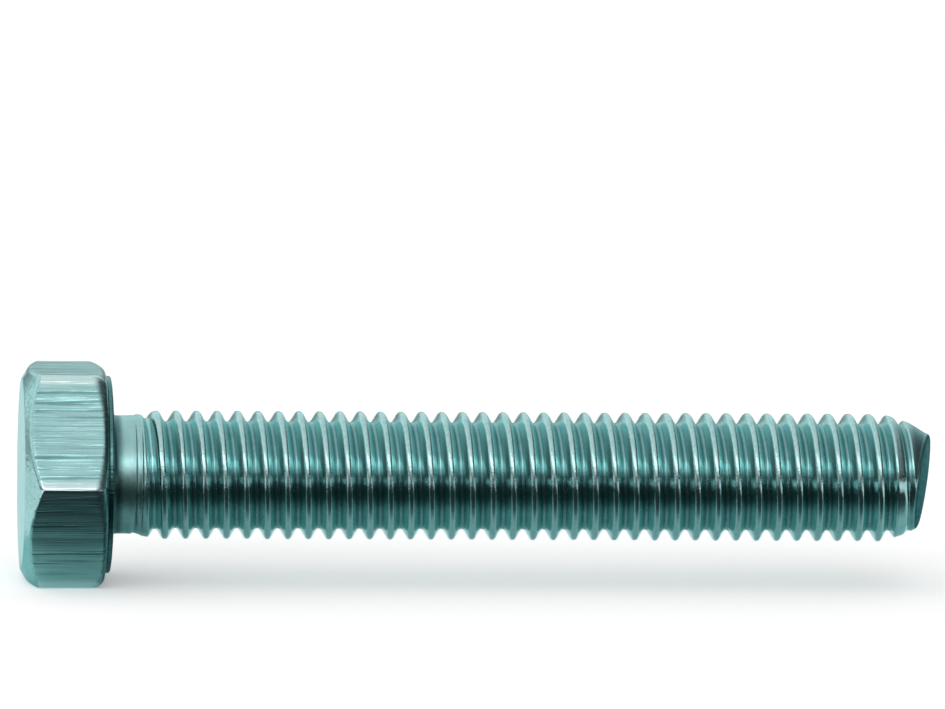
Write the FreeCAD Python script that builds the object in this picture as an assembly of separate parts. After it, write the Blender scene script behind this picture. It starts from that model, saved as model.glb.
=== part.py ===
import FreeCAD, Part
import math
import os
from FreeCAD import Vector

# Hexagon head bolt, M8 x 50, threaded to the head, cold headed and thread rolled
# from one piece of steel wire. Millimetres.
# Frame: the bolt's axis is X. The origin is the centre of the bearing face under
# the head, the head is towards -X and the point towards +X. Two flats of the
# hexagon are level, so a flat faces down (-Z) and corners point along -Y and +Y.

# ---- head -------------------------------------------------------------------
ACROSS_FLATS = 13.0
HEAD_HEIGHT = 5.4
TOP_CIRCLE_D = 11.7          # flat circle left on top of the head by its chamfer
TOP_CHAMFER_DEG = 30.0       # from the plane of the head's top
WASHER_FACE_D = 12.0
WASHER_FACE_HEIGHT = 0.3
UNDER_CHAMFER_DEG = 8.0      # the corners are relieved a little on the bearing side

# ---- neck and thread --------------------------------------------------------
THREAD_LENGTH = 50.0         # bearing face to the middle of the end face
PITCH = 1.25
CREST_D = 7.84
ROOT_D = 6.50
ROOT_ROUNDING = 0.18
FLANK_DEG = 30.0             # half of the 60 degree thread angle
NECK_D = 7.20                # blank diameter left between head and thread
FILLET_R = 0.4               # fillet between neck and bearing face
NECK_END = 1.2               # where the neck starts to swell towards the thread
CREST_START = 2.95           # first station with the full crest diameter
GROOVE_AT_PLUS_Y = 3.09      # a station of the groove's centre line on the +Y side
RUN_OUT_TURNS = 2.0          # the groove rises out of the neck over this many turns
RUN_OUT_RISE = 0.46

# ---- point ------------------------------------------------------------------
POINT_START = 47.4           # the crests begin to taper here
POINT_KNEE = 48.9
POINT_KNEE_D = 6.9
POINT_TAPER_DEG = 30.7       # taper of the last stretch, from the axis
END_LEAN_SIDE = 0.24         # the sheared end face leans: rise in X per mm along +Y
END_LEAN_UP = 0.10           # and per mm along +Z

# ---- modelling allowances ---------------------------------------------------
SECTORS = 8                  # the shank is revolved in sectors, so each crest face is short
FIRST_SECTOR_DEG = -5.0      # where the first sector starts, measured about X from +Z
OVERSHOOT = 2.0              # how far cutting solids run past what they cut
OVERLAP = 1.0                # how far the neck reaches into the head, so that they fuse
TOOL_CLEAR = 0.05            # flanks of the groove tool run this far past the crests
TOOL_CAP = 0.3               # straight-sided height of the groove tool above its flanks

AXIS = Vector(1, 0, 0)
ORIGIN = Vector(0, 0, 0)
CREST_R = CREST_D / 2.0
ROOT_R = ROOT_D / 2.0
NECK_R = NECK_D / 2.0


def tan_deg(angle):
    return math.tan(math.radians(angle))


def half_plane_face(stations):
    """A face in the XZ half plane from (x, r) stations; its last side is the axis."""
    points = [Vector(x, 0, r) for x, r in stations]
    return Part.Face(Part.makePolygon(points + [points[0]]))


def chamfered_head():
    """The hexagon, with its corners turned off on top and relieved underneath."""
    corner_r = ACROSS_FLATS / math.sqrt(3.0)
    outside_r = corner_r + OVERSHOOT
    top_r = TOP_CIRCLE_D / 2.0
    washer_r = WASHER_FACE_D / 2.0
    top_drop = (outside_r - top_r) * tan_deg(TOP_CHAMFER_DEG)
    under_drop = (outside_r - washer_r) * tan_deg(UNDER_CHAMFER_DEG)
    profile = half_plane_face([
        (-HEAD_HEIGHT, 0.0),
        (-HEAD_HEIGHT, top_r),
        (-HEAD_HEIGHT + top_drop, outside_r),
        (-WASHER_FACE_HEIGHT - under_drop, outside_r),
        (-WASHER_FACE_HEIGHT, washer_r),
        (0.0, washer_r),
        (0.0, 0.0),
    ])
    turned = profile.revolve(ORIGIN, AXIS, 360)
    corners = []
    for i in range(7):
        angle = math.radians(60.0 * i)
        corners.append(Vector(-HEAD_HEIGHT, corner_r * math.cos(angle), corner_r * math.sin(angle)))
    prism = Part.Face(Part.makePolygon(corners)).extrude(Vector(HEAD_HEIGHT, 0, 0))
    return prism.common(turned)


def neck():
    """Plain neck under the head, with the fillet that joins it to the bearing face."""
    fillet = Part.Arc(
        Vector(0, 0, NECK_R + FILLET_R),
        Vector(FILLET_R * (1 - math.sqrt(0.5)), 0, NECK_R + FILLET_R * (1 - math.sqrt(0.5))),
        Vector(FILLET_R, 0, NECK_R),
    ).toShape()
    corners = [
        Vector(FILLET_R, 0, NECK_R),
        Vector(NECK_END, 0, NECK_R),
        Vector(NECK_END, 0, 0),
        Vector(-OVERLAP, 0, 0),
        Vector(-OVERLAP, 0, NECK_R + FILLET_R),
        Vector(0, 0, NECK_R + FILLET_R),
    ]
    sides = [Part.makeLine(a, b) for a, b in zip(corners, corners[1:])]
    profile = Part.Face(Part.Wire([fillet] + sides))
    return profile.revolve(ORIGIN, AXIS, 360)


def shank_blank():
    """The shank before its groove is rolled: swelling neck, crests and tapered point."""
    beyond = THREAD_LENGTH + OVERSHOOT
    end_r = POINT_KNEE_D / 2.0 - (beyond - POINT_KNEE) * tan_deg(POINT_TAPER_DEG)
    profile = half_plane_face([
        (NECK_END, 0.0),
        (NECK_END, NECK_R),
        (CREST_START, CREST_R),
        (POINT_START, CREST_R),
        (POINT_KNEE, POINT_KNEE_D / 2.0),
        (beyond, end_r),
        (beyond, 0.0),
    ])
    step = 360.0 / SECTORS
    sectors = []
    for i in range(SECTORS):
        start = profile.copy()
        start.rotate(ORIGIN, AXIS, FIRST_SECTOR_DEG + i * step)
        sectors.append(start.revolve(ORIGIN, AXIS, step))
    return sectors[0].fuse(sectors[1:])


def groove_section():
    """The thread groove's cross-section in the plane y = 0, for a spine around Z."""
    sharp_r = ROOT_R - ROOT_ROUNDING
    arc_centre = sharp_r + ROOT_ROUNDING / math.sin(math.radians(FLANK_DEG))
    tangent_r = arc_centre - ROOT_ROUNDING * math.sin(math.radians(FLANK_DEG))
    tangent_w = ROOT_ROUNDING * math.cos(math.radians(FLANK_DEG))
    mouth_r = CREST_R + TOOL_CLEAR
    mouth_w = (mouth_r - sharp_r) * tan_deg(FLANK_DEG)
    cap_r = mouth_r + TOOL_CAP
    root = Part.Arc(
        Vector(tangent_r, 0, -tangent_w),
        Vector(ROOT_R, 0, 0),
        Vector(tangent_r, 0, tangent_w),
    ).toShape()
    outline = [
        Vector(tangent_r, 0, tangent_w),
        Vector(mouth_r, 0, mouth_w),
        Vector(cap_r, 0, mouth_w),
        Vector(cap_r, 0, -mouth_w),
        Vector(mouth_r, 0, -mouth_w),
        Vector(tangent_r, 0, -tangent_w),
    ]
    sides = [Part.makeLine(a, b) for a, b in zip(outline, outline[1:])]
    return Part.Wire([root] + sides)


def laid_along_x(shape):
    """Turn a solid made around Z so that its axis is X and its +X side faces +Y."""
    turned = shape.copy()
    turned.rotate(ORIGIN, Vector(1, 1, 1), 120)
    return turned


def thread_groove():
    """Right-hand groove of full depth, from the run-out to past the point."""
    length = THREAD_LENGTH + OVERSHOOT - GROOVE_AT_PLUS_Y
    spine = Part.makeLongHelix(PITCH, length, ROOT_R, 0, False)
    groove = laid_along_x(spine.makePipeShell([groove_section()], True, True))
    groove.translate(Vector(GROOVE_AT_PLUS_Y, 0, 0))
    return groove


def thread_run_out():
    """The groove's start: it rises out of the neck along a widening spiral.

    It is swept left-handed and upwards from the full groove's own section, then
    mirrored, so that it meets the full groove in exactly that section.
    """
    length = PITCH * RUN_OUT_TURNS
    widening = math.degrees(math.atan2(RUN_OUT_RISE, length))
    spine = Part.makeLongHelix(PITCH, length, ROOT_R, widening, True)
    groove = spine.makePipeShell([groove_section()], True, True)
    groove = laid_along_x(groove.mirror(ORIGIN, Vector(0, 0, 1)))
    groove.translate(Vector(GROOVE_AT_PLUS_Y, 0, 0))
    return groove


def sheared_end():
    """The block beyond the end face, which leans a little as the wire was sheared."""
    reach = 4.0 * CREST_D
    normal = Vector(1, -END_LEAN_SIDE, -END_LEAN_UP)
    block = Part.makeBox(reach, reach, reach)
    block.translate(Vector(0, -reach / 2.0, -reach / 2.0))
    turn = FreeCAD.Rotation(AXIS, normal)
    block.rotate(ORIGIN, turn.Axis, math.degrees(turn.Angle))
    block.translate(Vector(THREAD_LENGTH, 0, 0))
    return block


def from_top_to_point(solid):
    """The same solid with its faces listed from the top of the head to the point."""
    faces = sorted(solid.Faces, key=lambda face: face.CenterOfMass.x)
    return Part.Solid(Part.Shell(faces))


def hex_bolt():
    """One forging: head, neck and shank are the same piece of steel."""
    blank = chamfered_head().fuse([neck(), shank_blank()])
    bolt = blank.cut([thread_groove(), thread_run_out(), sheared_end()])
    if len(bolt.Solids) != 1:
        raise ValueError("the bolt must come out as one solid")
    return from_top_to_point(bolt.Solids[0])


os.makedirs("parts", exist_ok=True)
solid = hex_bolt()
solid.exportStep("parts/hex_bolt.step")
box = solid.optimalBoundingBox()
print("hex_bolt valid:", solid.isValid(), "faces:", len(solid.Faces))
print("volume mm3:", round(solid.Volume, 2))
print("X", round(box.XMin, 3), round(box.XMax, 3), "Y", round(box.YMin, 3), round(box.YMax, 3))
print("Z", round(box.ZMin, 3), round(box.ZMax, 3))
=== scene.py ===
# %% [markdown]
# # A fully threaded hex bolt
# This lesson shapes and finishes one forged steel bolt. The CAD model is loaded first and
# stays as the fixed frame: it says where the bolt is and how big it is. Nothing here moves
# or resizes it. The looks are made around it: a finer mesh, a zinc finish and studio light.

# %% Load the frame
import math
import bpy
import numpy as np
from mathutils import Matrix, Vector


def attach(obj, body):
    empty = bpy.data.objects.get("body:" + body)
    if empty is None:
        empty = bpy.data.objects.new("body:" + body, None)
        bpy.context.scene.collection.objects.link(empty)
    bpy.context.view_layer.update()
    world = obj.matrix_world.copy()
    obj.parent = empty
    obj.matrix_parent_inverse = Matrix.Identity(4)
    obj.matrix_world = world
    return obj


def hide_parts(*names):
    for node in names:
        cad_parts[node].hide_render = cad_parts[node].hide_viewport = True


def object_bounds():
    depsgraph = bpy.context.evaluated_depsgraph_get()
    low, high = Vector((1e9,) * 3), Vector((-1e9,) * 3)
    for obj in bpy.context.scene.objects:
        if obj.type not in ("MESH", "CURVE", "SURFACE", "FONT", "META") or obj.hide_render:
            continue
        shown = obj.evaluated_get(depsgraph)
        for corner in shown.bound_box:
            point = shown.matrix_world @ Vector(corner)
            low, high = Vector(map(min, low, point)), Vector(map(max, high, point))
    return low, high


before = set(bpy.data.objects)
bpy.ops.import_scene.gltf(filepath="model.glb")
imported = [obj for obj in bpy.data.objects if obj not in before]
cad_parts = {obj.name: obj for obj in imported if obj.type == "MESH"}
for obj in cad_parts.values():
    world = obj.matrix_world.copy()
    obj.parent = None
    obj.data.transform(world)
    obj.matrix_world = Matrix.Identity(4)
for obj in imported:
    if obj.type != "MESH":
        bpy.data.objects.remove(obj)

cad_low, cad_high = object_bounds()
print("CAD box in mm:", [round(1000 * v, 2) for v in (*cad_low, *cad_high)])

# %% [markdown]
# ## Sizes
# All work below is in millimetres and is turned into metres only when a mesh is written.
# The bolt's axis is X, with zero at the bearing face under the head. The head's height and
# its width across flats come from the frame, and the rest are the sizes of an M8 bolt with
# the standard coarse thread.

# %% Sizes of the head, the thread and the point
MM = 0.001
HEAD_HEIGHT = -cad_low.x / MM
HALF_FLATS = cad_high.z / MM
TOP_CIRCLE_R = 5.85
TOP_CHAMFER = math.radians(30.0)
WASHER_FACE_R = 6.0
WASHER_FACE_HEIGHT = 0.3
UNDER_CHAMFER = math.radians(8.0)

PITCH = 1.25
CREST_R = 3.92
ROOT_R = 3.25
ROOT_ROUNDING = 0.18
FLANK = math.radians(30.0)
NECK_R = 3.60
FILLET_R = 0.4
NECK_END = 1.2
CREST_START = 2.95
GROOVE_START = 3.09
RUN_OUT_TURNS = 2.0
RUN_OUT_RISE = 0.46

POINT_START = 47.4
POINT_KNEE = 48.9
POINT_KNEE_R = 3.45
POINT_TAPER = math.radians(30.7)
THREAD_LENGTH = 50.0
END_LEAN_SIDE = 0.24
END_LEAN_UP = 0.10
print("head", round(HEAD_HEIGHT, 2), "mm high,", round(2 * HALF_FLATS, 2), "mm across flats")

# %% [markdown]
# ## Columns round the bolt
# The whole bolt is one skin of rings laid side by side along X, each with the same number of
# columns, so it closes without a hole from the top of the head to the point. A ring could
# have its columns evenly spaced, which suits the round shank. The hexagon needs more of them
# at its corners, because a trimmed corner isn't sharp: it turns over within a third of a
# millimetre. So the head has its own spacing, and the flat bearing face takes up the change.

# %% Evenly spaced columns for the shank, crowded corners for the hexagon
COLUMNS = 192
PER_CORNER = COLUMNS // 6
CORNER_STEPS = 4
CORNER_ROUNDING = 0.34
CROWDING = 0.9

shank_angle = 2 * math.pi * np.arange(COLUMNS) / COLUMNS


def hexagon_outline():
    """Angles and radii of the rounded hexagon, with column 0 in the middle of a corner."""
    corner_centre = (HALF_FLATS - CORNER_ROUNDING) / math.cos(math.pi / 6)
    flat_end = (HALF_FLATS - CORNER_ROUNDING) * math.tan(math.pi / 6)
    angles = np.zeros(COLUMNS)
    radii = np.zeros(COLUMNS)
    for column in range(COLUMNS):
        corner = round(column / PER_CORNER)
        step = column - corner * PER_CORNER
        side = -1.0 if step < 0 else 1.0
        if abs(step) <= CORNER_STEPS:
            turn = math.radians(30.0) * step / CORNER_STEPS
            along = corner_centre + CORNER_ROUNDING * math.cos(turn)
            across = CORNER_ROUNDING * math.sin(turn)
        else:
            left = (PER_CORNER / 2 - abs(step)) / (PER_CORNER / 2 - CORNER_STEPS)
            from_middle = flat_end * left ** CROWDING
            along = HALF_FLATS * math.cos(math.pi / 6) + from_middle * math.sin(math.pi / 6)
            across = side * (HALF_FLATS * math.sin(math.pi / 6) - from_middle * math.cos(math.pi / 6))
        angles[column] = math.atan2(across, along) + corner * math.pi / 3
        radii[column] = math.hypot(along, across)
    return angles, radii


hex_angle, hex_radius = hexagon_outline()
print("hexagon radius from", round(hex_radius.min(), 3), "to", round(hex_radius.max(), 3), "mm")

# %% [markdown]
# ## Turning a profile with rounded corners
# No edge of a forged and plated part is a knife edge, and it is the small rounding that
# catches the light. A bevel modifier could add it, but would also round the thread. Here the
# head's outline is written as a few corners, and each corner is replaced by an arc.

# %% A helper that rounds the corners of an outline
def rounded_path(corners, support):
    """Points of an outline in (x, r). Each inner corner is (x, r, rounding, steps), each end is
    (x, r). support is the distance from an arc at which one more point holds the flat face flat."""
    points = [np.array(corners[0][:2], float)]
    for before, corner, after in zip(corners, corners[1:], corners[2:]):
        here = np.array(corner[:2], float)
        rounding, steps = corner[2], corner[3]
        back = np.array(before[:2], float) - here
        ahead = np.array(after[:2], float) - here
        back /= np.linalg.norm(back)
        ahead /= np.linalg.norm(ahead)
        inside = math.acos(max(-1.0, min(1.0, float(back @ ahead))))
        reach = rounding / math.tan(inside / 2)
        bisector = (back + ahead) / np.linalg.norm(back + ahead)
        centre = here + bisector * rounding / math.sin(inside / 2)
        start = here + back * reach - centre
        end = here + ahead * reach - centre
        points.append(here + back * (reach + support))
        spread = math.pi - inside
        for step in range(steps + 1):
            share = step / steps
            arm = math.sin((1 - share) * spread) * start + math.sin(share * spread) * end
            points.append(centre + arm / math.sin(spread))
        points.append(here + ahead * (reach + support))
    points.append(np.array(corners[-1][:2], float))
    return points


def ring(x, r, angle):
    """One ring of points from stations x, radii r and angles; each may vary from column to column."""
    x = np.broadcast_to(x, COLUMNS)
    return np.stack([x, r * np.cos(angle), r * np.sin(angle)], axis=1)


# %% [markdown]
# ## The head
# The head is a hexagon struck from round wire. Its top corners are turned off by a cone, its
# lower corners are relieved by a flatter one, and a thin round washer face stands under it.
# The lower edge is rounded more towards the corners, which the metal fills last.
# A cone meets a flat in a curve. That curve needs no cutting here: each column has its own
# outline with its own radius, and the cones end wherever that radius is reached.

# %% Outline of the head in every column
EDGE_TOP = 0.16
EDGE_CHAMFER = 0.36
EDGE_UNDER = 0.42
EDGE_UNDER_GROWTH = 0.55
EDGE_WASHER = 0.12
EDGE_AT_WASHER = 0.03
SUPPORT = 0.06
TOP_DISC_R = 4.6
BEARING_DISC_R = 5.2
FLAT_ROWS = 9
LONG_FACE = 1.0
WAVE_DEPTH = 0.011
WAVES = [(1.0, 2.9, 1.7, 0.15), (0.7, 5.3, 2.9, -0.22)]
WAVES_FADE = 0.5


def head_outline(corner_r):
    """The outline from the middle of the head's top down to the start of the fillet."""
    top_slope = math.tan(TOP_CHAMFER)
    under_slope = math.tan(UNDER_CHAMFER)
    top_edge = -HEAD_HEIGHT + (corner_r - TOP_CIRCLE_R) * top_slope
    under_edge = -WASHER_FACE_HEIGHT - (corner_r - WASHER_FACE_R) * under_slope
    edge_under = EDGE_UNDER + EDGE_UNDER_GROWTH * (corner_r - HALF_FLATS)
    corners = [
        (-HEAD_HEIGHT, TOP_DISC_R),
        (-HEAD_HEIGHT, TOP_CIRCLE_R, EDGE_TOP, 4),
        (top_edge, corner_r, EDGE_CHAMFER, 5),
        (under_edge, corner_r, edge_under, 6),
        (-WASHER_FACE_HEIGHT, WASHER_FACE_R, EDGE_AT_WASHER, 2),
        (0.0, WASHER_FACE_R, EDGE_WASHER, 4),
        (0.0, BEARING_DISC_R),
    ]
    return rounded_path(corners, SUPPORT)


outlines = np.array([head_outline(r) for r in hex_radius])
print("each column of the head has", outlines.shape[1], "points on its outline")


# %% Shallow waves that run along the flats, always inward
def drawn_waves(x):
    """How far each column lies under its flat at stations x: nothing at the hexagon's corners."""
    across = hex_radius * np.sin((hex_angle + math.pi / 6) % (math.pi / 3) - math.pi / 6)
    flat = np.floor((hex_angle + math.pi / 6) / (math.pi / 3))
    wave = 0.0
    for size, per_across, per_flat, per_x in WAVES:
        wave = wave + size * np.sin(per_across * across + per_flat * flat + per_x * x)
    fade = np.clip((hex_radius.max() - hex_radius) / WAVES_FADE, 0.0, 1.0)
    deepest = sum(size for size, *_ in WAVES)
    return WAVE_DEPTH * (deepest + wave) * fade


# %% Rings of the head, from the middle of its top to the fillet
FILLET_STEPS = 6


def head_rings():
    """Rings of the head. The flats get more rows, which carry their waves."""
    rings = []
    for share in (0.06, 0.25, 0.5, 0.75):
        rings.append(ring(-HEAD_HEIGHT, share * TOP_DISC_R, hex_angle))
    for index in range(outlines.shape[1]):
        here = outlines[:, index]
        rings.append(ring(here[:, 0], here[:, 1], hex_angle))
        after = outlines[:, min(index + 1, outlines.shape[1] - 1)]
        on_flat = np.allclose(here[:, 1], hex_radius) and np.allclose(after[:, 1], hex_radius)
        if on_flat and np.min(after[:, 0] - here[:, 0]) > LONG_FACE:
            for row in range(1, FLAT_ROWS):
                share = row / FLAT_ROWS
                x = here[:, 0] + (after[:, 0] - here[:, 0]) * share
                sunk = drawn_waves(x) * min(1.0, 4 * share, 4 * (1 - share))
                rings.append(ring(x, here[:, 1] - sunk, hex_angle))
    bearing_inner = NECK_R + FILLET_R
    for share in (0.3, 0.65, 1.0):
        angle = hex_angle + (shank_angle - hex_angle) * share
        r = BEARING_DISC_R + (bearing_inner - BEARING_DISC_R) * share
        rings.append(ring(0.0, r, angle))
    for step in range(1, FILLET_STEPS + 1):
        turn = math.radians(90.0) * step / FILLET_STEPS
        x = FILLET_R * (1 - math.cos(turn))
        r = bearing_inner - FILLET_R * math.sin(turn)
        rings.append(ring(x, r, shank_angle))
    return rings


head = head_rings()
print("the head has", len(head), "rings")

# %% [markdown]
# ## The thread's surface
# A rolled thread isn't cut: dies press the groove into the wire and the metal rises into the
# crest beside it, so crest and root are both rounded. The radius at any station and angle is
# the smaller of two things: the blank's own radius there, and the groove's rounded V. A soft
# minimum joins them, which rounds the crests as the dies leave them. Near the head the groove
# rises and grows shallow over its last turns, and two faint rings mark the dies' first touch.

# %% Radius of the shank at any station and angle
CREST_SOFTNESS = 0.20
SWELL_SOFTNESS = 0.06
CREST_START_SOFTNESS = 0.04
TAPER_SOFTNESS = 0.05
KNEE_SOFTNESS = 0.12
CREST_WEAR = 0.030
RUN_OUT_FADE = 1.65
FADE_LENGTH = 0.7
DIE_MARKS = [(1.40, 0.035, 0.08), (1.78, 0.045, 0.09)]
sharp_r = ROOT_R - ROOT_ROUNDING
arc_centre = sharp_r + ROOT_ROUNDING / math.sin(FLANK)
arc_half_width = ROOT_ROUNDING * math.cos(FLANK)


def soft_min(a, b, softness):
    """The smaller of a and b, with the step between them rounded over."""
    nearness = np.maximum(softness - np.abs(a - b), 0.0) / softness
    return np.minimum(a, b) - nearness * nearness * softness / 4


def blank_radius(x):
    """Neck with the marks where the dies first touched it, swell, crest line and tapered point."""
    swell = NECK_R + (x - NECK_END) * (CREST_R - NECK_R) / (CREST_START - NECK_END)
    neck = -soft_min(-swell, np.full_like(x, -NECK_R), SWELL_SOFTNESS)
    for station, depth, width in DIE_MARKS:
        neck = neck - depth * np.exp(-((x - station) / width) ** 2)
    first_taper = CREST_R - (x - POINT_START) * (CREST_R - POINT_KNEE_R) / (POINT_KNEE - POINT_START)
    last_taper = POINT_KNEE_R - (x - POINT_KNEE) * math.tan(POINT_TAPER)
    body = soft_min(neck, np.full_like(x, CREST_R), CREST_START_SOFTNESS)
    return soft_min(soft_min(body, first_taper, TAPER_SOFTNESS), last_taper, KNEE_SOFTNESS)


def groove_radius(distance):
    """The groove's rounded V, at a distance along the axis from its middle."""
    inside = np.minimum(distance, arc_half_width)
    arc = arc_centre - np.sqrt(ROOT_ROUNDING ** 2 - inside ** 2)
    flank = sharp_r + distance / math.tan(FLANK)
    return np.where(distance < arc_half_width, arc, flank)


def crest_wear(path):
    """How far the crest is worn down, at an angle counted on along the thread from its start."""
    slow = np.sin(0.83 * path) + np.sin(1.37 * path + 1.1)
    quick = np.sin(4.1 * path + 0.6) + np.sin(7.3 * path + 2.2)
    return CREST_WEAR * (4.0 + 1.2 * slow + 0.8 * quick) / 8.0


def shank_radius(x, angle):
    """Radius of the finished shank: worn blank, groove and run-out together."""
    turns = (x - GROOVE_START) / PITCH - angle / (2 * math.pi)
    whole = np.round(turns)
    distance = np.abs(turns - whole) * PITCH
    from_start = whole + angle / (2 * math.pi)
    turns_back = np.maximum(-from_start, 0.0)
    lift = turns_back * RUN_OUT_RISE / RUN_OUT_TURNS
    softness = CREST_SOFTNESS * (1.0 + 0.9 * np.clip(turns_back - 0.4, 0.0, 1.0))
    shallow = np.clip((RUN_OUT_FADE - turns_back) / FADE_LENGTH, 0.0, 1.0)
    shallow = shallow * shallow * (3.0 - 2.0 * shallow)
    crest_path = 2 * math.pi * (np.floor(turns) + angle / (2 * math.pi))
    worn = blank_radius(x) - crest_wear(crest_path) * np.clip((x - CREST_START) / PITCH, 0.0, 1.0)
    rolled = soft_min(worn, groove_radius(distance) + lift, softness)
    return worn + (rolled - worn) * shallow


# %% [markdown]
# ## Rings that follow the thread
# Rings square to the axis would cross every crest at a slant and leave it jagged. Rings that
# climb with the thread keep its crest and root smooth, but after one turn such a ring ends a
# full pitch away from its start. So every ring climbs with the thread over most of its turn,
# and slips back over the last few columns, one row of the thread's profile per column. The
# corners there still lie on the true surface, and each slanted patch is split along the
# thread's own direction, so the slip doesn't show.

# %% Rows of one pitch, crowded where the profile bends
half_rows = [0.0, 0.052, 0.104, arc_half_width, 0.27, 0.385, 0.44, 0.48, 0.52, 0.56]
pitch_rows = half_rows + [PITCH / 2] + [PITCH - d for d in reversed(half_rows[1:])]
ROWS = len(pitch_rows)
WHOLE_PITCHES = 34


def climbing_ring(row):
    """Ring number row: it rises one pitch per turn and slips back over its last ROWS columns."""
    slip = np.maximum(np.arange(COLUMNS) - (COLUMNS - ROWS), 0)
    index = row - slip
    offset = np.array([pitch_rows[i % ROWS] + PITCH * (i // ROWS) for i in index])
    return GROOVE_START + offset + PITCH * shank_angle / (2 * math.pi)


SUBSTITUTIONS = 40


def rim_station(angle):
    """Where the tapered point meets the leaning end face, by repeated substitution."""
    x = np.full(COLUMNS, THREAD_LENGTH)
    for _ in range(SUBSTITUTIONS):
        r = blank_radius(x)
        x = THREAD_LENGTH + END_LEAN_SIDE * r * np.cos(angle) + END_LEAN_UP * r * np.sin(angle)
    return x


NECK_RINGS = 72
POINT_RINGS = 76
RIM_BACK = 0.22


def shank_stations():
    """Stations of every ring of the shank, from the fillet to just before the rim."""
    first = climbing_ring(0)
    last = climbing_ring(WHOLE_PITCHES * ROWS)
    rim = rim_station(shank_angle) - RIM_BACK
    stations = []
    for step in range(1, NECK_RINGS):
        stations.append(FILLET_R + (first - FILLET_R) * step / NECK_RINGS)
    for row in range(WHOLE_PITCHES * ROWS):
        stations.append(climbing_ring(row))
    for step in range(POINT_RINGS + 1):
        stations.append(last + (rim - last) * step / POINT_RINGS)
    return stations


shank = [ring(x, shank_radius(x, shank_angle), shank_angle) for x in shank_stations()]
print("the shank has", len(shank), "rings,", ROWS, "to a pitch")

# %% [markdown]
# ## The end face
# The wire was sheared off before its point was rolled, so the end face isn't square. It leans
# away on one side, shearing leaves it slightly domed, and its rim is turned well over.

# %% Rings of the end face, from the rim to the middle
END_DOME = 0.16
RIM_SHARE = 0.10


def end_rings():
    """Rings from the rim inwards. They turn over the rim in a quarter ellipse."""
    last = shank[-1]
    angle = shank_angle
    start_r = np.hypot(last[:, 1], last[:, 2])
    start_x = last[:, 0]
    rings = []
    for r_share in (0.997, 0.99, 0.975, 0.95, 0.92, 0.88, 0.8, 0.6, 0.4, 0.2, 0.05):
        r = start_r * r_share
        flat = THREAD_LENGTH + END_LEAN_SIDE * r * np.cos(angle) + END_LEAN_UP * r * np.sin(angle)
        flat = flat + END_DOME * (1.0 - r_share ** 2)
        rise = min(1.0, (1.0 - r_share) / RIM_SHARE)
        x = start_x + (flat - start_x) * math.sqrt(1 - (1 - rise) ** 2)
        rings.append(ring(x, r, angle))
    return rings


end = end_rings()

# %% [markdown]
# ## One closed skin
# The rings are joined into one mesh. It has no seam between head, neck and thread, because
# the real bolt has none: it is one piece of steel.

# %% Join the rings
def build_bolt():
    """Join every ring to the next, close both ends and return the object."""
    rings = head + shank + end
    points = np.concatenate(rings)
    count = len(rings)
    points = np.concatenate([points, [[-HEAD_HEIGHT, 0.0, 0.0]], [[THREAD_LENGTH, 0.0, 0.0]]])
    top_middle = count * COLUMNS
    end_middle = top_middle + 1
    slip_start = COLUMNS - ROWS
    first_shank, last_shank = len(head), len(head) + len(shank) - 1
    faces = []
    for k in range(count - 1):
        slips = first_shank <= k < last_shank
        for i in range(COLUMNS):
            j = (i + 1) % COLUMNS
            a, b = k * COLUMNS + i, k * COLUMNS + j
            c, d = b + COLUMNS, a + COLUMNS
            if slips and i >= slip_start:
                faces += [(a, b, c), (a, c, d)]
            else:
                faces.append((a, b, c, d))
    for i in range(COLUMNS):
        j = (i + 1) % COLUMNS
        faces.append((top_middle, j, i))
        base = (count - 1) * COLUMNS
        faces.append((end_middle, base + i, base + j))
    mesh = bpy.data.meshes.new("hex_bolt_skin")
    mesh.from_pydata((points * MM).tolist(), [], faces)
    mesh.validate()
    mesh.shade_smooth()
    piece = bpy.data.objects.new("hex_bolt_skin", mesh)
    bpy.context.scene.collection.objects.link(piece)
    return piece


bolt = build_bolt()
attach(bolt, "root")
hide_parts("hex_bolt")
print("the skin has", len(bolt.data.vertices), "points and", len(bolt.data.polygons), "faces")

# %% [markdown]
# ## Zinc-plated steel
# Bright zinc over steel is a metal with a cool tint. Where the tools touched it, it keeps
# their marks. The trimming die sheared the flats and left fine lines along the bolt. The
# rolling dies burnished the thread round its axis and polished the crests. The forging tool
# left an even grain on the top of the head. Light and shade are painted into the colour too:
# the crests and the hexagon's corners are lighter as wear and as a painted highlight, and the
# thread's roots, the fillet and the band under the head are darker as painted shade. The
# finish could be one picture wrapped round the bolt, but then the marks would stretch. So it
# is built from solid noise in the bolt's own millimetres, and each region is picked out by
# its place on the bolt.

# %% A small kit for node materials
def new_material(name):
    """An empty node material with its output node."""
    material = bpy.data.materials.new(name)
    material.use_nodes = True
    nodes = material.node_tree.nodes
    links = material.node_tree.links
    nodes.clear()
    output = nodes.new("ShaderNodeOutputMaterial")
    return material, nodes, links, output


def plug(links, socket, value):
    """Link an output into a socket, or write a plain number there."""
    if isinstance(value, (int, float)):
        socket.default_value = value
    else:
        links.new(value, socket)


def maths(nodes, links, operation, a, b=0.0, clamp=False):
    """One sum on two values, each an output or a plain number."""
    node = nodes.new("ShaderNodeMath")
    node.operation = operation
    node.use_clamp = clamp
    plug(links, node.inputs[0], a)
    plug(links, node.inputs[1], b)
    return node.outputs["Value"]


def times(nodes, links, a, b):
    """a times b, the sum that is needed most."""
    return maths(nodes, links, "MULTIPLY", a, b)


def without(nodes, links, mask):
    """What a mask from 0 to 1 leaves free."""
    return maths(nodes, links, "SUBTRACT", 1.0, mask)


def blend(nodes, links, share, a, b):
    """The colour a where share is 0, the colour b where it is 1, and mixed between."""
    node = nodes.new("ShaderNodeMix")
    node.data_type = "RGBA"
    node.clamp_factor = True
    plug(links, node.inputs["Factor"], share)
    for socket, colour in ((node.inputs["A"], a), (node.inputs["B"], b)):
        if isinstance(colour, tuple):
            socket.default_value = colour
        else:
            links.new(colour, socket)
    return node.outputs["Result"]


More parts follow.
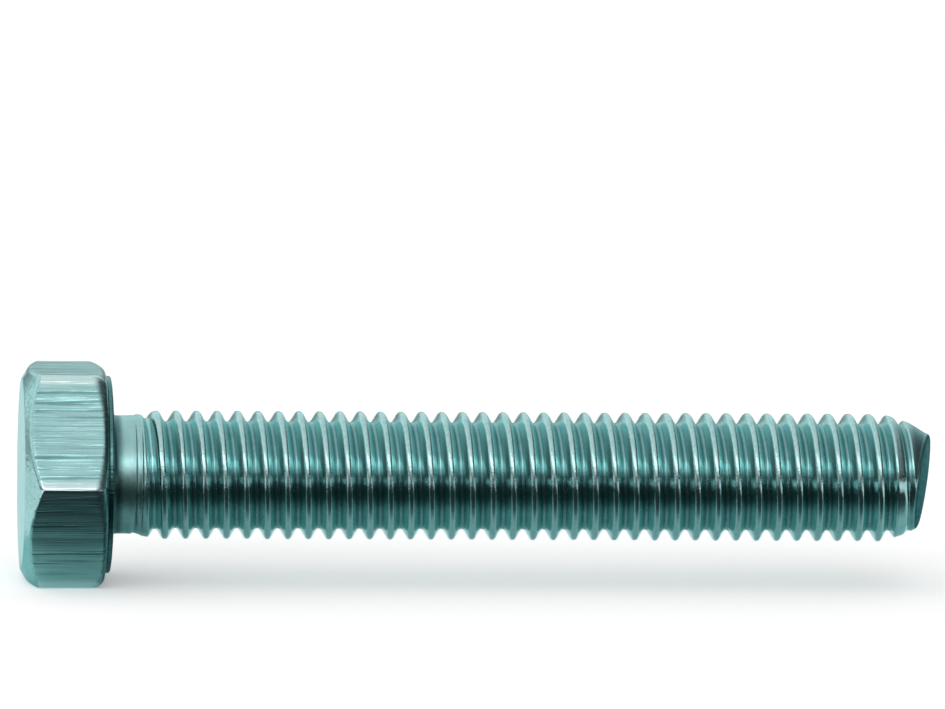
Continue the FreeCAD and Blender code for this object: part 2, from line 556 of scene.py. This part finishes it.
def step_up(nodes, links, value, low, high, to_low=0.0, to_high=1.0):
    """to_low below low, to_high above high, and a smooth rise between them."""
    node = nodes.new("ShaderNodeMapRange")
    node.interpolation_type = "SMOOTHSTEP"
    plug(links, node.inputs["Value"], value)
    node.inputs["From Min"].default_value = low
    node.inputs["From Max"].default_value = high
    node.inputs["To Min"].default_value = to_low
    node.inputs["To Max"].default_value = to_high
    return node.outputs["Result"]


# %% Places on the bolt, in millimetres
def places(nodes, links):
    """The position in mm, its x and z, the distance r from the axis, and how far it stands past
    the plane of the end face."""
    coordinates = nodes.new("ShaderNodeTexCoord")
    position = nodes.new("ShaderNodeVectorMath")
    position.operation = "SCALE"
    position.inputs["Scale"].default_value = 1.0 / MM
    links.new(coordinates.outputs["Object"], position.inputs[0])
    parts = nodes.new("ShaderNodeSeparateXYZ")
    links.new(position.outputs["Vector"], parts.inputs["Vector"])
    x, y, z = (parts.outputs[axis] for axis in "XYZ")
    squares = maths(nodes, links, "ADD", times(nodes, links, y, y), times(nodes, links, z, z))
    side_lean = times(nodes, links, y, END_LEAN_SIDE)
    lean = maths(nodes, links, "ADD", side_lean, times(nodes, links, z, END_LEAN_UP))
    past_length = maths(nodes, links, "SUBTRACT", x, THREAD_LENGTH)
    past_end = maths(nodes, links, "SUBTRACT", past_length, lean)
    return position.outputs["Vector"], x, z, maths(nodes, links, "SQRT", squares), past_end


def marks(nodes, links, position, per_mm, detail=2.0, roughness=0.55):
    """Noise from 0 to 1 whose marks come per_mm to the millimetre along each axis."""
    stretch = nodes.new("ShaderNodeVectorMath")
    stretch.operation = "MULTIPLY"
    stretch.inputs[1].default_value = per_mm
    links.new(position, stretch.inputs[0])
    noise = nodes.new("ShaderNodeTexNoise")
    noise.inputs["Scale"].default_value = 1.0
    noise.inputs["Detail"].default_value = detail
    noise.inputs["Roughness"].default_value = roughness
    links.new(stretch.outputs["Vector"], noise.inputs["Vector"])
    return noise.outputs["Fac"]


# %% Masks for the regions of the bolt
# Each pair says where a mask rises from nothing to full, in mm: along X, from the axis (R),
# past the cone on top of the head, or past the plane of the end face.
BEARING_FACE_X = (-0.06, 0.06)
OFF_TOP_X = (-HEAD_HEIGHT + 0.01, -HEAD_HEIGHT + 0.04)
OFF_CONE = (0.03, 0.12)
SWELL_X = (NECK_END, CREST_START)
CREST_BAND_R = (3.62, 3.84)
ROOT_BAND_R = (ROOT_R, 3.42)
CORNER_BAND_R = (7.12, 7.34)
FILLET_START_X = (-0.35, -0.25)
FILLET_END_X = (0.36, 0.80)
UNDER_START_X = (-0.66, -0.52)
UNDER_END_X = (-0.32, -0.22)
PAST_END = (-0.12, -0.05)


def regions(nodes, links, x, r, past_end):
    """A mask from 0 to 1 for each region of the bolt with its own finish, painted shade or highlight.
    """
    shank = step_up(nodes, links, x, *BEARING_FACE_X)
    off_top = step_up(nodes, links, x, *OFF_TOP_X)
    past_circle = maths(nodes, links, "SUBTRACT", r, TOP_CIRCLE_R)
    cone_x = times(nodes, links, past_circle, math.tan(TOP_CHAMFER))
    over_cone = maths(nodes, links, "SUBTRACT", maths(nodes, links, "ADD", x, HEAD_HEIGHT), cone_x)
    off_cone = step_up(nodes, links, over_cone, *OFF_CONE)
    flats = times(nodes, links, off_cone, without(nodes, links, shank))
    flats = times(nodes, links, flats, off_top)
    threaded = step_up(nodes, links, x, *SWELL_X)
    low = without(nodes, links, step_up(nodes, links, r, *ROOT_BAND_R))
    by_head = without(nodes, links, step_up(nodes, links, x, *FILLET_END_X))
    under = maths(nodes, links, "SUBTRACT", step_up(nodes, links, x, *UNDER_START_X),
                  step_up(nodes, links, x, *UNDER_END_X))
    return {
        "shank": shank,
        "top": without(nodes, links, off_top),
        "chamfer": times(nodes, links, without(nodes, links, off_cone), off_top),
        "flats": flats,
        "corners": times(nodes, links, flats, step_up(nodes, links, r, *CORNER_BAND_R)),
        "crests": times(nodes, links, threaded, step_up(nodes, links, r, *CREST_BAND_R)),
        "roots": times(nodes, links, low, threaded),
        "neck": maths(nodes, links, "SUBTRACT", shank, threaded),
        "fillet": times(nodes, links, by_head, step_up(nodes, links, x, *FILLET_START_X)),
        "under": under,
        "end": step_up(nodes, links, past_end, *PAST_END),
    }


# %% The zinc finish: colour, roughness and relief
ZINC_TINT = (0.355, 0.605, 0.605, 1.0)
# duller, darker zinc, and the colour of the painted shade in the roots and under the head
ZINC_DULL_AND_PAINTED_SHADE = (0.150, 0.315, 0.320, 1.0)
# light worn zinc, also used as a painted highlight on the hexagon's corners and the crests
ZINC_WORN_AND_HIGHLIGHT = (0.610, 0.790, 0.790, 1.0)
# dark steel of the sheared end face, and the colour of the painted shade at the fillet and under the
# head
SHEARED_STEEL_AND_PAINTED_SHADE = (0.030, 0.115, 0.120, 1.0)
EDGE_TINT = (0.76, 0.95, 0.95, 1.0)
SHEARED_EDGE_TINT = (0.40, 0.74, 0.76, 1.0)
RELIEF_MM = 0.010
BASE_ROUGHNESS = 0.145


def weighted_sum(nodes, links, rows, start=0.0):
    """start plus the product of each row. A row holds masks, noises and plain weights."""
    total = start
    for row in rows:
        product = row[0]
        for factor in row[1:]:
            product = times(nodes, links, product, factor)
        total = maths(nodes, links, "ADD", total, product)
    return total


def zinc_plated_steel():
    """The whole finish: relief, tint, wear and painted highlight, sheared steel and painted shade,
    and roughness, region by region.
    """
    material, nodes, links, output = new_material("zinc_plated_steel")
    position, x, z, r, past_end = places(nodes, links)
    mask = regions(nodes, links, x, r, past_end)

    drawn_wide = marks(nodes, links, position, (0.05, 1.5, 1.5), 1.0)
    drawn_fine = marks(nodes, links, position, (0.12, 6.0, 6.0), 3.0, 0.65)
    scratches = marks(nodes, links, position, (0.10, 3.4, 3.4), 1.0)
    scores = step_up(nodes, links, scratches, 0.57, 0.68)
    burnish = marks(nodes, links, position, (9.0, 0.35, 0.35), 3.0, 0.6)
    grain = marks(nodes, links, position, (9.0, 9.0, 9.0), 3.0, 0.7)
    clouds = marks(nodes, links, position, (0.45, 0.7, 0.7), 3.0, 0.55)
    specks = marks(nodes, links, position, (3.2, 3.2, 3.2), 2.0, 0.6)
    spots = marks(nodes, links, position, (4.5, 4.5, 4.5), 4.0, 0.75)
    blotches = step_up(nodes, links, spots, 0.42, 0.66)

    relief = weighted_sum(nodes, links, [
        (drawn_wide, 3.3, mask["flats"]),
        (drawn_fine, 2.2, mask["flats"]),
        (scores, -1.2, mask["flats"]),
        (burnish, 0.60, mask["shank"]),
        (specks, 0.45, mask["shank"]),
        (grain, 1.00, mask["crests"]),
        (grain, 1.3, mask["top"]),
        (specks, 1.8, mask["chamfer"]),
        (grain, 4.0, mask["end"]),
        (grain, 0.20),
        (specks, 0.25),
    ])
    bump = nodes.new("ShaderNodeBump")
    bump.inputs["Strength"].default_value = 1.0
    bump.inputs["Distance"].default_value = RELIEF_MM * MM
    links.new(relief, bump.inputs["Height"])

    # random dull zinc, plus painted shade in the roots and under the head, and a painted highlight
    # that makes the crests lighter
    dull_and_painted_light = weighted_sum(nodes, links, [
        (step_up(nodes, links, clouds, 0.40, 0.72), 0.18),
        (step_up(nodes, links, specks, 0.58, 0.75), 0.14),
        # painted shade: the thread's roots between the crests are painted darker
        (mask["roots"], 0.75),
        # painted shade: the band under the head, by the washer face, is painted duller and darker
        (mask["under"], 0.60),
        (step_up(nodes, links, drawn_fine, 0.45, 0.7), 0.45, mask["flats"]),
        (scores, 0.70, mask["flats"]),
        (blotches, 0.34, mask["chamfer"]),
        (blotches, 0.24, mask["top"]),
        (mask["top"], -0.16),
        # wear and painted highlight: the crests are made lighter
        (mask["crests"], -0.35),
    ])
    tint = blend(nodes, links, dull_and_painted_light, ZINC_TINT, ZINC_DULL_AND_PAINTED_SHADE)

    # wear and painted highlight: the corners and specks on the crests go towards the light worn tint
    rubbed_and_highlight = weighted_sum(nodes, links, [
        (mask["corners"], 0.9),
        (step_up(nodes, links, specks, 0.35, 0.6), 0.3, mask["crests"]),
    ])
    colour = blend(nodes, links, rubbed_and_highlight, tint, ZINC_WORN_AND_HIGHLIGHT)

    height = maths(nodes, links, "ADD", z, times(nodes, links, clouds, 2.0))
    # the end face's dark steel thins out towards its top, broken up by clouds
    lighter_towards_top = step_up(nodes, links, height, 1.0, 2.4, 1.0, 0.85)
    # sheared steel on the end face, and painted shade by the head
    bare_and_painted_shade = weighted_sum(nodes, links, [
        (mask["end"], lighter_towards_top, step_up(nodes, links, specks, 0.25, 0.60, 0.70, 1.0)),
        # painted shade: the fillet beside the head is painted dark, where the head's shade falls on
        # the neck
        (mask["fillet"], 0.80),
        # painted shade: the same band under the head gets dark steel specks
        (mask["under"], step_up(nodes, links, specks, 0.30, 0.60, 0.15, 0.60)),
    ])
    finished = blend(nodes, links, bare_and_painted_shade, colour, SHEARED_STEEL_AND_PAINTED_SHADE)

    matt = weighted_sum(nodes, links, [
        (mask["top"], 0.16),
        (mask["flats"], 0.03),
        (mask["roots"], 0.08),
        (mask["crests"], -0.04),
        (mask["neck"], 0.14),
        (mask["corners"], -0.06),
        (mask["end"], 0.35),
        (step_up(nodes, links, clouds, 0.35, 0.75), 0.06),
        (step_up(nodes, links, specks, 0.5, 0.8), 0.05),
    ], BASE_ROUGHNESS)

    metal = nodes.new("ShaderNodeBsdfPrincipled")
    metal.inputs["Metallic"].default_value = 1.0
    glancing = blend(nodes, links, mask["end"], EDGE_TINT, SHEARED_EDGE_TINT)
    links.new(glancing, metal.inputs["Specular Tint"])
    links.new(finished, metal.inputs["Base Color"])
    links.new(matt, metal.inputs["Roughness"])
    links.new(bump.outputs["Normal"], metal.inputs["Normal"])
    links.new(metal.outputs["BSDF"], output.inputs["Surface"])
    print("the zinc finish has", len(nodes), "nodes")
    return material


bolt.data.materials.append(zinc_plated_steel())

# %% [markdown]
# ## Camera
# The bolt is seen from its side, a little from above and a little from the head's end, by a
# long lens from about half a metre, so it has almost no perspective.

# %% Camera
CAMERA_AZIMUTH = math.radians(-5.43)
CAMERA_ELEVATION = math.radians(7.80)
CAMERA_ROLL = math.radians(0.98)
CAMERA_DISTANCE = 0.543
SENSOR = 36.0
LENS = 338.6
TARGET_X = 0.0227
AIM_UP = 0.00742
AIM_RIGHT = -0.00053


def make_camera():
    """A long lens aimed at the bolt's middle, from its side and a little above."""
    back = Vector((
        math.sin(CAMERA_AZIMUTH) * math.cos(CAMERA_ELEVATION),
        -math.cos(CAMERA_AZIMUTH) * math.cos(CAMERA_ELEVATION),
        math.sin(CAMERA_ELEVATION),
    ))
    level_right = Vector((math.cos(CAMERA_AZIMUTH), math.sin(CAMERA_AZIMUTH), 0.0))
    level_up = back.cross(level_right)
    right = math.cos(CAMERA_ROLL) * level_right + math.sin(CAMERA_ROLL) * level_up
    up = math.cos(CAMERA_ROLL) * level_up - math.sin(CAMERA_ROLL) * level_right
    target = Vector((TARGET_X, 0.0, 0.0))
    place = target + back * CAMERA_DISTANCE
    aim = target + up * AIM_UP + right * AIM_RIGHT
    away = (place - aim).normalized()
    side = up.cross(away).normalized()
    data = bpy.data.cameras.new("camera")
    data.sensor_width = SENSOR
    data.lens = LENS
    data.clip_start, data.clip_end = 0.01, 100.0
    camera = bpy.data.objects.new("camera", data)
    turn = Matrix((side, away.cross(side), away)).transposed().to_4x4()
    camera.matrix_world = Matrix.Translation(place) @ turn
    bpy.context.scene.collection.objects.link(camera)
    bpy.context.scene.camera = camera
    return camera


camera = make_camera()
print("camera at", [round(v, 3) for v in camera.location])

# %% [markdown]
# ## Floor and light
# A bare metal shows what stands round it more than its own colour. So the studio is built for
# the reflections. The sky is a soft white tent, darker low down and towards the point's end.
# One soft box hangs over the front, a low one stands behind and one beside the head. A dark
# card lies on the floor in front of the bolt and draws the dark band along the shank. It
# fades out towards the bolt, as its reflection does.

# %% Floor
def flat_card(name, corners, material):
    """One flat quad in metres, as part of the studio."""
    mesh = bpy.data.meshes.new(name)
    mesh.from_pydata(corners, [], [(0, 1, 2, 3)])
    mesh.materials.append(material)
    card = bpy.data.objects.new(name, mesh)
    bpy.context.scene.collection.objects.link(card)
    return card


def paper(name, shade=None):
    """Matt paper of one plain shade, or of no shade yet when the caller links its own."""
    material, nodes, links, output = new_material(name)
    sheet = nodes.new("ShaderNodeBsdfDiffuse")
    if shade is not None:
        sheet.inputs["Color"].default_value = (shade, shade, shade, 1.0)
    links.new(sheet.outputs["BSDF"], output.inputs["Surface"])
    return material, nodes, links, sheet


def light_table(name, shade, glow):
    """White paper that is lit a little from below too, so the bolt's shadow on it stays faint."""
    material, nodes, links, sheet = paper(name, shade)
    lamp = nodes.new("ShaderNodeEmission")
    lamp.inputs["Strength"].default_value = glow
    both = nodes.new("ShaderNodeAddShader")
    links.new(sheet.outputs["BSDF"], both.inputs[0])
    links.new(lamp.outputs["Emission"], both.inputs[1])
    surface = next(node for node in nodes if node.type == "OUTPUT_MATERIAL").inputs["Surface"]
    links.new(both.outputs["Shader"], surface)
    return material


FLOOR_Z = cad_low.z
FLOOR_REACH = 12.0
FLOOR_SHADE = 0.94
FLOOR_GLOW = 0.27
flat_card("floor", [
    (-FLOOR_REACH, -FLOOR_REACH, FLOOR_Z),
    (FLOOR_REACH, -FLOOR_REACH, FLOOR_Z),
    (FLOOR_REACH, FLOOR_REACH, FLOOR_Z),
    (-FLOOR_REACH, FLOOR_REACH, FLOOR_Z),
], light_table("floor_paper", FLOOR_SHADE, FLOOR_GLOW))


# %% Dark card in front, seen only in reflections
CARD_SHADES = [
    (2.6, 0.86), (3.4, 0.76), (4.3, 0.53), (5.4, 0.30), (6.8, 0.12), (8.8, 0.065), (12.0, 0.040),
    (26.0, 0.045), (60.0, 0.10), (150.0, 0.20),
]
HEAD_FADE_SHIFT = 1.5
HEAD_FADE_X = (0.0, 0.002)
CARD_RED = (0.62, 0.18)


def fading_paper(name, shades):
    """Paper whose shade follows a list of (distance in front of the bolt's axis in mm, shade).
    In front of the head the whole fade lies farther out."""
    material, nodes, links, sheet = paper(name)
    geometry = nodes.new("ShaderNodeNewGeometry")
    parts = nodes.new("ShaderNodeSeparateXYZ")
    links.new(geometry.outputs["Position"], parts.inputs["Vector"])
    farthest = shades[-1][0]
    farther = step_up(nodes, links, parts.outputs["X"], *HEAD_FADE_X, HEAD_FADE_SHIFT * MM, 0.0)
    shifted = maths(nodes, links, "ADD", parts.outputs["Y"], farther)
    reach = maths(nodes, links, "MULTIPLY", shifted, -1.0 / (farthest * MM), True)
    spread = maths(nodes, links, "POWER", reach, 0.5)
    ramp = nodes.new("ShaderNodeValToRGB")
    links.new(spread, ramp.inputs["Fac"])
    stops = ramp.color_ramp.elements
    while len(stops) < len(shades):
        stops.new(0.5)
    for stop, (distance, shade) in zip(stops, shades):
        red = (CARD_RED[0] + CARD_RED[1] * shade) * shade
        stop.position = math.sqrt(distance / farthest)
        stop.color = (red, shade, shade, 1.0)
    links.new(ramp.outputs["Color"], sheet.inputs["Color"])
    return material


def only_in_reflections(card):
    """Hide a card from the camera and from everything but mirror-like reflections."""
    card.visible_camera = False
    card.visible_diffuse = False
    card.visible_shadow = False
    card.visible_transmission = False


CARD_REACH = 1.2
CARD_EDGE = 0.006
CARD_HEAD_END = -0.012
CARD_POINT_END = 0.064
CARD_LIFT = 0.0001
card_z = FLOOR_Z + CARD_LIFT
dark_card = flat_card("dark_card", [
    (CARD_HEAD_END, -CARD_REACH, card_z),
    (CARD_POINT_END, -CARD_REACH, card_z),
    (CARD_POINT_END, CARD_EDGE, card_z),
    (CARD_HEAD_END, CARD_EDGE, card_z),
], fading_paper("dark_card", CARD_SHADES))
only_in_reflections(dark_card)


# %% Soft boxes
def soft_box(name, place, aim, width, height, strength):
    """A rectangle of light of that strength, aimed at a point and hidden from the camera."""
    data = bpy.data.lights.new(name, "AREA")
    data.shape = "RECTANGLE"
    data.size, data.size_y = width, height
    data.energy = strength * width * height * math.pi
    light = bpy.data.objects.new(name, data)
    light.location = place
    light.rotation_mode = "QUATERNION"
    light.rotation_quaternion = (Vector(place) - Vector(aim)).to_track_quat("Z", "Y")
    light.visible_camera = False
    bpy.context.scene.collection.objects.link(light)
    return light


bolt_middle = (0.022, 0.0, 0.0)
soft_box("front_box", (-0.25, -0.80, 0.535), bolt_middle, 1.5, 0.30, 1.45)
soft_box("back_box", (0.10, 0.90, 0.14), bolt_middle, 1.6, 0.20, 0.32)
soft_box("head_box", (-0.80, 0.50, 0.16), bolt_middle, 0.9, 0.30, 0.45)

# %% World: a tent, darker low down and towards the point's end
TENT_HEIGHTS = [
    (0.0, 0.08), (0.12, 0.10), (0.20, 0.60), (0.30, 0.98), (0.45, 0.92), (0.70, 0.86),
    (0.95, 0.80), (1.0, 0.78),
]
TENT_SIDES = (1.10, 0.12)
TENT_TURN_X = (0.12, 0.84)
BACKDROP = (0.95, 0.95, 0.95, 1.0)


def tent():
    """The white tent as a world, with an even backdrop where the camera looks past the floor."""
    world = bpy.data.worlds.new("studio")
    world.use_nodes = True
    nodes, links = world.node_tree.nodes, world.node_tree.links
    background = nodes["Background"]
    coordinates = nodes.new("ShaderNodeTexCoord")
    parts = nodes.new("ShaderNodeSeparateXYZ")
    links.new(coordinates.outputs["Generated"], parts.inputs["Vector"])
    ramp = nodes.new("ShaderNodeValToRGB")
    links.new(parts.outputs["Z"], ramp.inputs["Fac"])
    stops = ramp.color_ramp.elements
    while len(stops) < len(TENT_HEIGHTS):
        stops.new(0.5)
    for stop, (height, shade) in zip(stops, TENT_HEIGHTS):
        stop.position = height
        stop.color = (shade, shade, shade, 1.0)
    strength = step_up(nodes, links, parts.outputs["X"], *TENT_TURN_X, *TENT_SIDES)
    path = nodes.new("ShaderNodeLightPath")
    is_camera = path.outputs["Is Camera Ray"]
    seen = blend(nodes, links, is_camera, ramp.outputs["Color"], BACKDROP)
    level = maths(nodes, links, "MAXIMUM", strength, is_camera)
    links.new(seen, background.inputs["Color"])
    links.new(level, background.inputs["Strength"])
    return world


bpy.context.scene.world = tent()
bpy.context.scene.view_settings.view_transform = "Standard"
bpy.context.scene.view_settings.look = "None"
